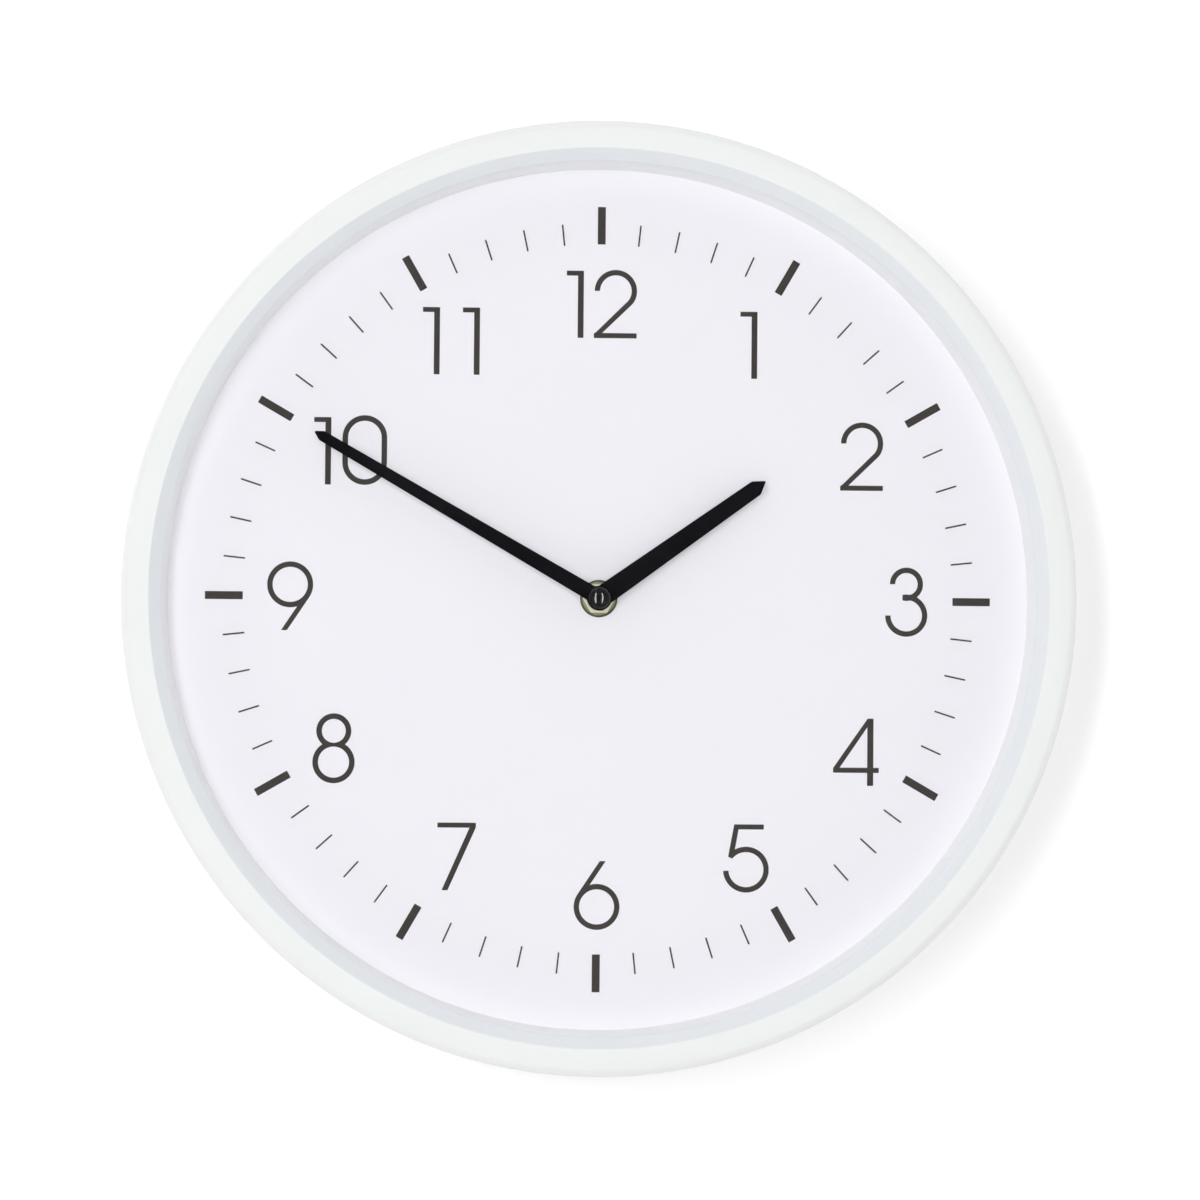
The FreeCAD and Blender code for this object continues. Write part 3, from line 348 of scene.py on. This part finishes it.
def copper_wire():
    """Enamelled wire wound side by side along the bobbin, with painted shade in the grooves
    between turns.
    """
    pitch, wander = 0.16 * MM, 0.06 * MM
    mat, nt, shader = new_material("copper_wire")
    parts = nt.nodes.new("ShaderNodeSeparateXYZ")
    nt.links.new(here(nt), parts.inputs[0])
    wobble = math_node(nt, "MULTIPLY", grain(nt, 1.5, 2.0, seed=25.0), wander)
    along = math_node(nt, "ADD", parts.outputs["X"], wobble)
    turns = math_node(nt, "SINE", math_node(nt, "MULTIPLY", along, 2 * math.pi / pitch))
    height = spread(nt, turns, 0.0, 1.0, -1.0, 1.0)
    # painted shade: the colour is dark copper in the grooves between turns and lighter on their
    # crowns
    copper_with_groove_shade = mix(nt, height, (0.22, 0.05, 0.02), (0.72, 0.26, 0.11))
    nt.links.new(copper_with_groove_shade, shader.inputs["Base Color"])
    shader.inputs["Metallic"].default_value = 0.85
    gloss = spread(nt, grain(nt, 0.8, 2.0, seed=26.0), 0.22, 0.34)
    nt.links.new(gloss, shader.inputs["Roughness"])
    relief(nt, shader, [(height, 0.03)])
    return mat


def board_green():
    """Solder mask over etched tracks."""
    mat, nt, shader = new_material("board_green")
    cells = nt.nodes.new("ShaderNodeTexVoronoi")
    cells.distance = "MANHATTAN"
    cells.inputs["Scale"].default_value = 1.0 / (2.4 * MM)
    nt.links.new(here(nt), cells.inputs["Vector"])
    track = spread(nt, cells.outputs["Distance"], 0.0, 1.0, 0.28, 0.34)
    mask = mix(nt, track, (0.015, 0.10, 0.045), (0.03, 0.19, 0.08))
    nt.links.new(mask, shader.inputs["Base Color"])
    uneven(nt, shader, 1.0, 0.25, 0.38, seed=27.0)
    relief(nt, shader, [(track, 0.02), (grain(nt, 0.3, 2.0, seed=28.0), 0.004)])
    return mat


def cell_sleeve():
    """AA cell: steel at both ends, and a printed two-tone sleeve between."""
    steel_to, light_from, steel_from = 0.035, 0.70, 0.925      # shares of the cell's length
    mat, nt, shader = new_material("cell_sleeve")
    lo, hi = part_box("battery")
    parts = nt.nodes.new("ShaderNodeSeparateXYZ")
    nt.links.new(here(nt), parts.inputs[0])
    x = math_node(nt, "DIVIDE", math_node(nt, "SUBTRACT", parts.outputs["X"], lo.x), hi.x - lo.x)
    steel_end = math_node(nt, "ADD", math_node(nt, "LESS_THAN", x, steel_to),
                          math_node(nt, "GREATER_THAN", x, steel_from))
    band = math_node(nt, "GREATER_THAN", x, light_from)
    ink = spread(nt, grain(nt, 6.0, 3.0, seed=29.0), 0.0, 1.0)
    dark = mix(nt, ink, (0.035, 0.075, 0.16), (0.045, 0.09, 0.19))
    sleeve = mix(nt, band, dark, (0.62, 0.64, 0.66))
    nt.links.new(mix(nt, steel_end, sleeve, (0.60, 0.59, 0.57)), shader.inputs["Base Color"])
    nt.links.new(steel_end, shader.inputs["Metallic"])
    uneven(nt, shader, 2.0, 0.2, 0.34, seed=30.0)
    dents = (grain(nt, 3.0, 2.0, seed=31.0), 0.01)
    relief(nt, shader, [dents, (grain(nt, 0.4, 2.0, seed=32.0), 0.003)])
    return mat


def acetal(name, colour):
    """Milky gear plastic."""
    mat = moulded(name, colour, 0.94, 4.0, (0.3, 0.42), 0.25, 0.003, 3.0, 0.01)
    shader = node_of(mat.node_tree, "BSDF_PRINCIPLED")
    shader.inputs["Subsurface Weight"].default_value = 0.25
    shader.inputs["Subsurface Radius"].default_value = (1.0, 1.0, 1.0)
    shader.inputs["Subsurface Scale"].default_value = 0.5 * MM
    return mat


# For each slot of the record: the function that makes its finish, and what that is given.
FINISHES = {
    "case_white": (case_white,),
    "lens_glass": (lens_glass,),
    "spacer_white": (moulded, "spacer_white", (0.965, 0.965, 0.975), 0.985, 35.0, (0.42, 0.52)),
    "dial_face": (dial_face,),
    "dial_ink": (dial_ink,),
    "plate_white": (moulded, "plate_white", (0.74, 0.75, 0.745), 0.965, 45.0, (0.42, 0.55),
                    0.6, 0.016),
    "zinc_steel": (metal, "zinc_steel", (0.62, 0.62, 0.60), 0.8, 2.0),
    "hand_black": (hand_black,),
    "cap_black": (cap_black,),
    "washer_rubber": (moulded, "washer_rubber", (0.018, 0.018, 0.018), 0.8, 5.0, (0.7, 0.85),
                      0.5, 0.02),
    "hub_brass": (hub_brass,),
    "bush_brass": (turned_metal, "bush_brass", (0.72, 0.60, 0.33)),
    "movement_black": (moulded, "movement_black", (0.015, 0.015, 0.0165), 0.85, 12.0, (0.40, 0.52),
                       0.5, 0.014, 8.0, 0.02, 0.4),
    "train_plate_grey": (moulded, "train_plate_grey", (0.30, 0.31, 0.32), 0.93, 8.0),
    "magnet_dark": (metal, "magnet_dark", (0.16, 0.155, 0.15), 0.8, 1.0, (0.35, 0.5)),
    "gear_acetal": (acetal, "gear_acetal", (0.80, 0.79, 0.74)),
    "gear_amber": (acetal, "gear_amber", (0.78, 0.55, 0.22)),
    "arbor_brass": (turned_metal, "arbor_brass", (0.74, 0.60, 0.32)),
    "knob_black": (moulded, "knob_black", (0.02, 0.02, 0.021), 0.85, 6.0, (0.32, 0.45),
                   0.4, 0.010, 4.0, 0.01),
    "iron_plate": (metal, "iron_plate", (0.42, 0.41, 0.40), 0.8, 3.0, (0.3, 0.45), (0.15, 1, 1)),
    "bobbin_white": (moulded, "bobbin_white", (0.72, 0.71, 0.66), 0.95, 6.0),
    "copper_wire": (copper_wire,),
    "board_green": (board_green,),
    "resin_black": (moulded, "resin_black", (0.012, 0.012, 0.012), 0.8, 3.0, (0.2, 0.4),
                    0.6, 0.02, 2.0, 0.03),
    "crystal_can": (metal, "crystal_can", (0.66, 0.66, 0.64), 0.88, 2.0, (0.15, 0.28)),
    "cell_sleeve": (cell_sleeve,),
    "contact_steel": (metal, "contact_steel", (0.68, 0.67, 0.64), 0.85, 2.0, (0.2, 0.32),
                      (0.2, 1, 1)),
}

made = {}                  # slot: its material, once it is made


def dress_nodes():
    """Gives every CAD node the finish of its record slot, and the nut a near-white brass, a
    painted highlight for the glint of its facets.
    """
    for part in frame["record"]["subparts"]:
        slot = part["material_slot"]
        if slot not in made:
            make, *given = FINISHES[slot]
            made[slot] = make(*given)
        for s in frame["nodes"][part["node"]].material_slots:
            s.material = made[slot]
    # painted highlight: the nut's brass is made near white and half matt to stand in for the shine
    # on its facets
    painted_highlight_brass = turned_metal("nut_painted_highlight", (0.97, 0.92, 0.75), (0.40, 0.52), 0.25)
    for s in frame["nodes"]["hex_nut"].material_slots:
        s.material = painted_highlight_brass


# ------------------------------------------------------------------ turned rings and raised marks
# All in mm, as in the CAD part; depths are measured from the wall.
DEPTH = -cad_lo.y / MM
CASE_R = cad_hi.x / MM
LENS_BACK, LENS_FRONT = -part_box("lens")[1].y / MM, -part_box("lens")[0].y / MM
DIAL_FRONT = -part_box("dial")[0].y / MM
PLATE_FRONT = 21.0         # front of the back plate, where the rib and the bosses end
SKIN = 35.6                # back of the bezel's front face
SIDE_R = 147.4             # inside of the bezel's outer side
RIB_R = 142.4              # outside of its centring rib
SEAT_R = 140.5             # inside of the rib, round the glass
BEVEL_R, MOUTH_R = 141.2, 137.6
BEVEL_FOOT = 34.4
SPACER_R = 140.1
SPACER_FLANGE = 1.2        # thickness of the flanges at both ends of the spacer's wall
SCREW_CIRCLE = 144.9
SCREW_ANGLES = range(30, 360, 60)
BOSS_R, BOSS_HOLE_R = 2.47, 1.4
RING_SEGMENTS, BOSS_SEGMENTS = 360, 40
SHARP_ANGLE = 35.0         # degrees; a steeper edge between two faces isn't smoothed

# Profiles: radius, depth and corner rounding.
BEZEL_PROFILE = [
    (CASE_R, 0.0, 0.4), (CASE_R, DEPTH, 2.8), (BEVEL_R, DEPTH, 0.5), (MOUTH_R, BEVEL_FOOT, 0.15),
    (MOUTH_R, LENS_FRONT, 0.0), (SEAT_R, LENS_FRONT, 0.0), (SEAT_R, PLATE_FRONT, 0.2),
    (RIB_R, PLATE_FRONT, 0.2), (RIB_R, SKIN, 0.0), (SIDE_R, SKIN, 0.5), (SIDE_R, 0.0, 0.4),
]
SPACER_PROFILE = [
    (136.2, DIAL_FRONT, 0.2), (SPACER_R, DIAL_FRONT, 0.0),
    (SPACER_R, DIAL_FRONT + SPACER_FLANGE, 0.2), (137.6, DIAL_FRONT + SPACER_FLANGE, 0.0),
    (138.9, LENS_BACK - SPACER_FLANGE, 0.0), (SPACER_R, LENS_BACK - SPACER_FLANGE, 0.2),
    (SPACER_R, LENS_BACK, 0.0), (137.9, LENS_BACK, 0.2),
]

# Marks on the movement's back: the curved double arrow, and the minus and plus.
MARK_HEIGHT, MARK_ROOT = 0.1, 0.25
ARROW_R, ARROW_WIDTH, ARROW_HEAD = 7.4, 0.7, 1.5
ARROW_ENDS = -60, 240      # degrees
MINUS_X, PLUS_X, SIGN_Y = -20.0, 20.0, -7.0
SIGN_REACH, SIGN_HALF_WIDTH = 1.8, 0.35


def rounded(profile, steps=7):
    """The profile as (radius, depth) points, with an arc at each corner that has a rounding."""
    points = []
    for i, (r, z, size) in enumerate(profile):
        corner = Vector((r, z))
        if size == 0.0:
            points.append((r, z))
            continue
        before = (Vector(profile[i - 1][:2]) - corner).normalized()
        after = (Vector(profile[(i + 1) % len(profile)][:2]) - corner).normalized()
        half = before.angle(after) / 2
        reach = size / math.tan(half)
        middle = corner + (before + after).normalized() * (size / math.sin(half))
        start, end = corner + before * reach - middle, corner + after * reach - middle
        for k in range(steps):
            t = k / (steps - 1)
            spoke = start.lerp(end, t).normalized() * size
            points.append(tuple(middle + spoke))
    return points


def add_piece(name, verts, faces, slot):
    """A mesh of mm points (x, height, depth from the wall) as a piece on the case."""
    mesh = bpy.data.meshes.new(name)
    mesh.from_pydata([(x * MM, -z * MM, y * MM) for x, y, z in verts], [], faces)
    bm = bmesh.new()
    bm.from_mesh(mesh)
    bmesh.ops.recalc_face_normals(bm, faces=bm.faces)
    bm.to_mesh(mesh)
    bm.free()
    mesh.polygons.foreach_set("use_smooth", [True] * len(mesh.polygons))
    mesh.set_sharp_from_angle(angle=math.radians(SHARP_ANGLE))
    mesh.materials.append(made[slot])
    piece = bpy.data.objects.new(name, mesh)
    bpy.context.scene.collection.objects.link(piece)
    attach(piece, "case")
    return piece


def ring_mesh(points, segments, at=(0.0, 0.0)):
    """Vertices and faces of a closed profile turned about an axis at (x, height)."""
    verts, faces = [], []
    n = len(points)
    for k in range(segments):
        a = 2 * math.pi * k / segments
        verts += [(at[0] + r * math.sin(a), at[1] + r * math.cos(a), z) for r, z in points]
        for i in range(n):
            j = (i + 1) % n
            k2 = (k + 1) % segments
            faces.append((k * n + i, k * n + j, k2 * n + j, k2 * n + i))
    return verts, faces


def prism_mesh(outline, z0, z1):
    """Vertices and faces of a flat outline of (x, height) points, from depth z0 to z1."""
    n = len(outline)
    verts = [(x, y, z0) for x, y in outline] + [(x, y, z1) for x, y in outline]
    faces = [tuple(range(n)), tuple(range(n, 2 * n))]
    faces += [(i, (i + 1) % n, n + (i + 1) % n, n + i) for i in range(n)]
    return verts, faces


def joined(parts):
    """Vertices and faces of several meshes as one."""
    verts, faces = [], []
    for v, f in parts:
        faces += [tuple(i + len(verts) for i in face) for face in f]
        verts += v
    return verts, faces


def make_rings():
    """Finely turned bezel, its screw bosses and the spacer ring, on the CAD part's profiles."""
    verts, faces = ring_mesh(rounded(BEZEL_PROFILE), RING_SEGMENTS)
    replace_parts(add_piece("bezel_ring", verts, faces, "case_white"), "bezel")
    tube = [(BOSS_HOLE_R, PLATE_FRONT), (BOSS_R, PLATE_FRONT), (BOSS_R, SKIN), (BOSS_HOLE_R, SKIN)]
    angles = [math.radians(angle) for angle in SCREW_ANGLES]
    spots = [(SCREW_CIRCLE * math.cos(a), SCREW_CIRCLE * math.sin(a)) for a in angles]
    tubes = [ring_mesh(tube, BOSS_SEGMENTS, spot) for spot in spots]
    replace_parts(add_piece("bezel_bosses", *joined(tubes), "case_white"), "bezel")
    verts, faces = ring_mesh(rounded(SPACER_PROFILE, 5), RING_SEGMENTS)
    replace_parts(add_piece("spacer_wall", verts, faces, "spacer_white"), "spacer_ring")


def arc(at, r, start, end, steps=40):
    """Points along an arc; angles in degrees anticlockwise from the right."""
    angles = [math.radians(start + (end - start) * k / steps) for k in range(steps + 1)]
    return [(at[0] + r * math.cos(a), at[1] + r * math.sin(a)) for a in angles]


def arrow_head(at, angle, way):
    """Triangle at the end of the curved arrow, pointing on along the curve."""
    a = math.radians(angle)
    out = Vector((math.cos(a), math.sin(a)))
    on = Vector((-math.sin(a), math.cos(a))) * way
    end = Vector(at) + out * ARROW_R
    sides, tip = out * ARROW_HEAD, on * ARROW_HEAD * 1.5
    return [tuple(end + sides), tuple(end + tip), tuple(end - sides)]


def make_rear_marks():
    """Raised plus and minus by the cell and a double arrow round the setting knob."""
    back = -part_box("movement_housing")[1].y / MM
    knob_lo, knob_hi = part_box("setting_knob")
    knob = ((knob_lo.x + knob_hi.x) / 2 / MM, (knob_lo.z + knob_hi.z) / 2 / MM)
    start, end = ARROW_ENDS
    outer = arc(knob, ARROW_R + ARROW_WIDTH / 2, start, end)
    inner = arc(knob, ARROW_R - ARROW_WIDTH / 2, start, end)
    outlines = [outer + inner[::-1], arrow_head(knob, end, 1), arrow_head(knob, start, -1)]
    a, b = SIGN_REACH, SIGN_HALF_WIDTH
    outlines.append([(MINUS_X + x, SIGN_Y + y) for x, y in ((-a, -b), (a, -b), (a, b), (-a, b))])
    right = [(a, b), (b, b), (b, a)]
    upper = right + [(-x, y) for x, y in right[::-1]]
    outlines.append([(PLUS_X + x, SIGN_Y + y) for x, y in upper + [(-x, -y) for x, y in upper]])
    parts = [prism_mesh(o, back - MARK_ROOT, back + MARK_HEIGHT) for o in outlines]
    add_piece("rear_marks", *joined(parts), "movement_black")


# ------------------------------------------------------------------ wall and light
WALL_REACH = 12.0          # metres to each side
WALL_GAP = 0.4 * MM        # between the clock's back and the wall
WALL_GLOW = 0.04

# Strengths of the world. Matt surfaces see a small bright lobe in front, a dimmer middle and
# bright sides. Reflections see a dim tent, with a dark opening in front and brighter behind.
BACKGROUND = 0.93
LOBE = 16.2
MIDDLE = 0.36
AT_SIDES = 0.95
OPENING = 0.01
GLOSSY_FRONT = 0.33
GLOSSY_SIDES = 0.14
# Where one passes into the next, in degrees from straight in front.
LOBE_EDGE = 5, 10
SIDES_EDGE = 50, 62
OPENING_EDGE = 12, 22
GLOSSY_SIDES_EDGE = 45, 85
REAR_EDGE = -0.05, 0.15    # the same for the rear, as the Y of a unit vector

# Softboxes: name, azimuth and elevation in degrees, distance, width and height in metres, share of
# the light on a white face, and whether it lights everything or is only mirrored in the cap.
SOFTBOXES = [
    ("key_left", -19.0, 5.0, 1.8, 0.30, 1.0, 0.265, True),
    ("strip_left", -33.0, 0.0, 1.4, 0.30, 2.2, 1.20, False),
    ("strip_right", 25.0, 0.0, 1.4, 0.28, 2.2, 1.15, False),
    ("rear_left", 215.0, 20.0, 1.8, 0.5, 0.9, 0.20, True),
]


def make_wall():
    """Plain white wall just behind the clock, seen only from the front."""
    y = cad_hi.y + WALL_GAP
    mesh = bpy.data.meshes.new("wall")
    signs = ((-1, -1), (1, -1), (1, 1), (-1, 1))
    mesh.from_pydata([(x * WALL_REACH, y, z * WALL_REACH) for x, z in signs], [], [(0, 1, 2, 3)])
    wall = bpy.data.objects.new("wall", mesh)
    bpy.context.scene.collection.objects.link(wall)
    mat, nt, shader = new_material("wall_paint")
    nt.nodes.remove(shader)
    paint = nt.nodes.new("ShaderNodeBsdfDiffuse")
    tone = spread(nt, grain(nt, 90.0, 2.0, seed=33.0), 0.0, 1.0)
    nt.links.new(mix(nt, tone, (0.95, 0.95, 0.95), (0.94, 0.94, 0.94)), paint.inputs["Color"])
    glow = nt.nodes.new("ShaderNodeEmission")
    glow.inputs["Strength"].default_value = WALL_GLOW
    lit = nt.nodes.new("ShaderNodeAddShader")
    nt.links.new(paint.outputs[0], lit.inputs[0])
    nt.links.new(glow.outputs[0], lit.inputs[1])
    gone = nt.nodes.new("ShaderNodeBsdfTransparent")
    path = nt.nodes.new("ShaderNodeLightPath")
    face = nt.nodes.new("ShaderNodeNewGeometry")
    front = math_node(nt, "SUBTRACT", 1.0, face.outputs["Backfacing"])
    shown = math_node(nt, "MULTIPLY", path.outputs["Is Camera Ray"], front)
    both = nt.nodes.new("ShaderNodeMixShader")
    nt.links.new(shown, both.inputs[0])
    nt.links.new(gone.outputs[0], both.inputs[1])
    nt.links.new(lit.outputs[0], both.inputs[2])
    nt.links.new(both.outputs[0], node_of(nt, "OUTPUT_MATERIAL").inputs["Surface"])
    mesh.materials.append(mat)


def make_lights():
    """The softboxes; the two strips light and are mirrored in the polished cap only."""
    cap_only = bpy.data.collections.new("cap_only")
    cap_only.objects.link(frame["nodes"]["hand_cap"])
    for name, azimuth, elevation, distance, width, height, share, lights in SOFTBOXES:
        way = direction(azimuth, elevation)
        data = bpy.data.lights.new(name, "AREA")
        data.shape = "RECTANGLE"
        data.size, data.size_y = width, height
        data.energy = share * math.pi ** 2 * distance ** 2 / abs(way.y)
        lamp = bpy.data.objects.new(name, data)
        bpy.context.scene.collection.objects.link(lamp)
        lamp.matrix_world = Matrix.Translation(way * distance) @ facing_back(way)
        lamp.visible_glossy = not lights or way.y > 0
        if not lights:
            lamp.visible_diffuse = False
            lamp.light_linking.receiver_collection = cap_only


def make_world():
    """Even white studio that the camera, matt surfaces and reflections see differently."""
    world = bpy.data.worlds.new("studio")
    world.use_nodes = True
    bpy.context.scene.world = world
    nt = world.node_tree
    background = node_of(nt, "BACKGROUND")
    coord = nt.nodes.new("ShaderNodeTexCoord")
    parts = nt.nodes.new("ShaderNodeSeparateXYZ")
    nt.links.new(coord.outputs["Generated"], parts.inputs[0])
    y = parts.outputs["Y"]

    def step(lo, hi, edge):
        """From lo to hi across an edge."""
        inner, outer = (-math.cos(math.radians(angle)) for angle in edge)
        return spread(nt, y, lo, hi, inner, outer)

    path = nt.nodes.new("ShaderNodeLightPath")
    matt = math_node(nt, "ADD", step(LOBE, MIDDLE, LOBE_EDGE),
                     step(0.0, AT_SIDES - MIDDLE, SIDES_EDGE))
    ringed = math_node(nt, "ADD", step(OPENING, GLOSSY_FRONT, OPENING_EDGE),
                       step(0.0, GLOSSY_SIDES - GLOSSY_FRONT, GLOSSY_SIDES_EDGE))
    rear = spread(nt, y, 0.0, 1.0, *REAR_EDGE)
    glossy = math_node(nt, "ADD", ringed, math_node(nt, "MULTIPLY", rear, AT_SIDES - GLOSSY_SIDES))
    is_glossy = path.outputs["Is Glossy Ray"]
    is_camera = path.outputs["Is Camera Ray"]
    unseen = math_node(nt, "ADD", math_node(nt, "MULTIPLY", glossy, is_glossy),
                       math_node(nt, "MULTIPLY", matt, math_node(nt, "SUBTRACT", 1.0, is_glossy)))
    unseen = math_node(nt, "MULTIPLY", unseen, math_node(nt, "SUBTRACT", 1.0, is_camera))
    seen = math_node(nt, "MULTIPLY", is_camera, BACKGROUND)
    nt.links.new(math_node(nt, "ADD", seen, unseen), background.inputs["Strength"])
    background.inputs["Color"].default_value = (1.0, 1.0, 1.0, 1.0)


make_camera()
dress_nodes()
make_rings()
make_rear_marks()
make_wall()
make_lights()
make_world()

view = bpy.context.scene.view_settings
view.view_transform = "Standard"
view.look = "None"
view.exposure = 0.0
view.gamma = 1.0
